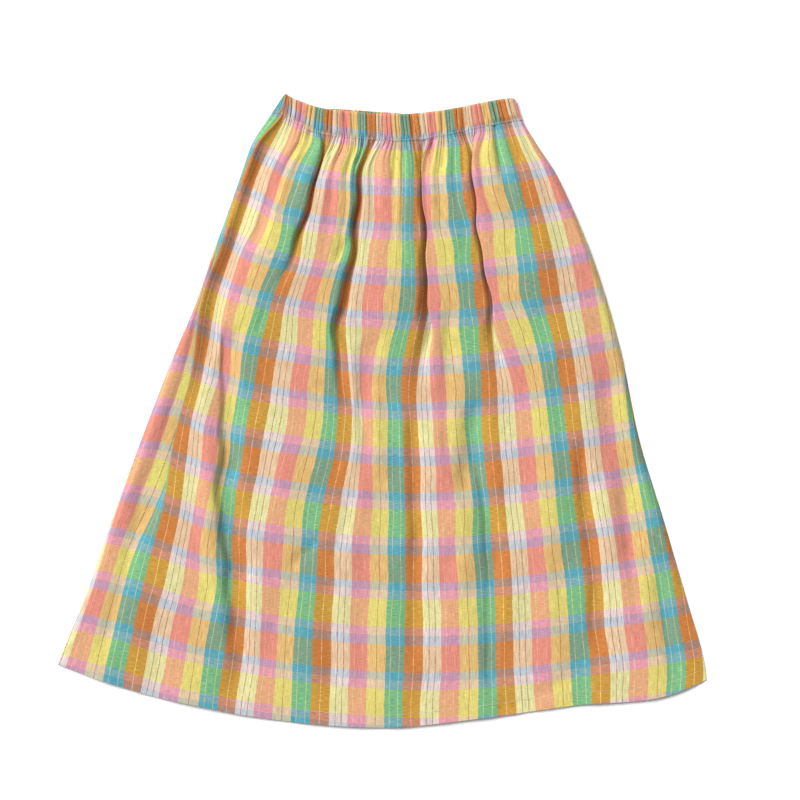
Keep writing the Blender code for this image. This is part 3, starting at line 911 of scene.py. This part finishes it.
def stitch_tree():
    """The geometry nodes that lay stitches along a path."""
    tree = bpy.data.node_groups.new("row_of_stitches", "GeometryNodeTree")
    sockets = tree.interface
    sockets.new_socket("Path", in_out="INPUT", socket_type="NodeSocketGeometry")
    for name in ("Stitch pitch", "Stitch length", "Thread radius"):
        sockets.new_socket(name, in_out="INPUT", socket_type="NodeSocketFloat")
    sockets.new_socket("Thread", in_out="INPUT", socket_type="NodeSocketMaterial")
    sockets.new_socket("Stitches", in_out="OUTPUT", socket_type="NodeSocketGeometry")
    start = tree.nodes.new("NodeGroupInput")
    end = tree.nodes.new("NodeGroupOutput")
    path = tree.nodes.new("GeometryNodeMeshToCurve")
    spaced = tree.nodes.new("GeometryNodeResampleCurve")
    spaced.mode = "LENGTH"
    length = tree.nodes.new("GeometryNodeCurvePrimitiveLine")
    ring = tree.nodes.new("GeometryNodeCurvePrimitiveCircle")
    ring.inputs["Resolution"].default_value = THREAD_SIDES
    stitch = tree.nodes.new("GeometryNodeCurveToMesh")
    stitch.inputs["Fill Caps"].default_value = True
    tangent = tree.nodes.new("GeometryNodeInputTangent")
    turn = tree.nodes.new("FunctionNodeAlignRotationToVector")
    turn.axis = "X"
    placed = tree.nodes.new("GeometryNodeInstanceOnPoints")
    real = tree.nodes.new("GeometryNodeRealizeInstances")
    coloured = tree.nodes.new("GeometryNodeSetMaterial")
    for source, target in (
        (start.outputs["Path"], path.inputs["Mesh"]),
        (path.outputs["Curve"], spaced.inputs["Curve"]),
        (start.outputs["Stitch pitch"], spaced.inputs["Length"]),
        (half_stitch(tree, start.outputs["Stitch length"], -1), length.inputs["Start"]),
        (half_stitch(tree, start.outputs["Stitch length"], 1), length.inputs["End"]),
        (start.outputs["Thread radius"], ring.inputs["Radius"]),
        (length.outputs["Curve"], stitch.inputs["Curve"]),
        (ring.outputs["Curve"], stitch.inputs["Profile Curve"]),
        (tangent.outputs[0], turn.inputs["Vector"]),
        (spaced.outputs["Curve"], placed.inputs["Points"]),
        (stitch.outputs["Mesh"], placed.inputs["Instance"]),
        (turn.outputs["Rotation"], placed.inputs["Rotation"]),
        (placed.outputs["Instances"], real.inputs["Geometry"]),
        (real.outputs["Geometry"], coloured.inputs["Geometry"]),
        (start.outputs["Thread"], coloured.inputs["Material"]),
        (coloured.outputs["Geometry"], end.inputs["Stitches"]),
    ):
        tree.links.new(source, target)
    return tree


def row_of_stitches(name, points, tree, thread):
    """A row of stitches along points, as a plain mesh."""
    line = bpy.data.meshes.new(name + "_path")
    line.from_pydata(points.tolist(), [(at, at + 1) for at in range(len(points) - 1)], [])
    path = bpy.data.objects.new(name + "_path", line)
    bpy.context.scene.collection.objects.link(path)
    modifier = path.modifiers.new("stitches", "NODES")
    modifier.node_group = tree
    values = {
        "Stitch pitch": STITCH_PITCH, "Stitch length": STITCH_LENGTH,
        "Thread radius": THREAD_RADIUS, "Thread": thread,
    }
    for socket in tree.interface.items_tree:
        if socket.name in values:
            modifier[socket.identifier] = values[socket.name]
    shown = path.evaluated_get(bpy.context.evaluated_depsgraph_get())
    mesh = bpy.data.meshes.new_from_object(shown)
    mesh.name = name
    mesh.shade_smooth()
    bpy.data.objects.remove(path)
    row = bpy.data.objects.new(name, mesh)
    bpy.context.scene.collection.objects.link(row)
    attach(row, "root")


sewing_thread = twisted_thread("sewing_thread")
stitches = stitch_tree()
for name, sheet in (("casing_stitches", front_casing_face), ("hem_stitches", front_upper)):
    line = sheet[STITCH_ROW, SEAM_INSET:-SEAM_INSET].copy()
    line[:, :2] -= MIDDLE_OF_OUTLINE
    line[:, 2] += STITCH_LIFT
    row_of_stitches(name, line, stitches, sewing_thread)
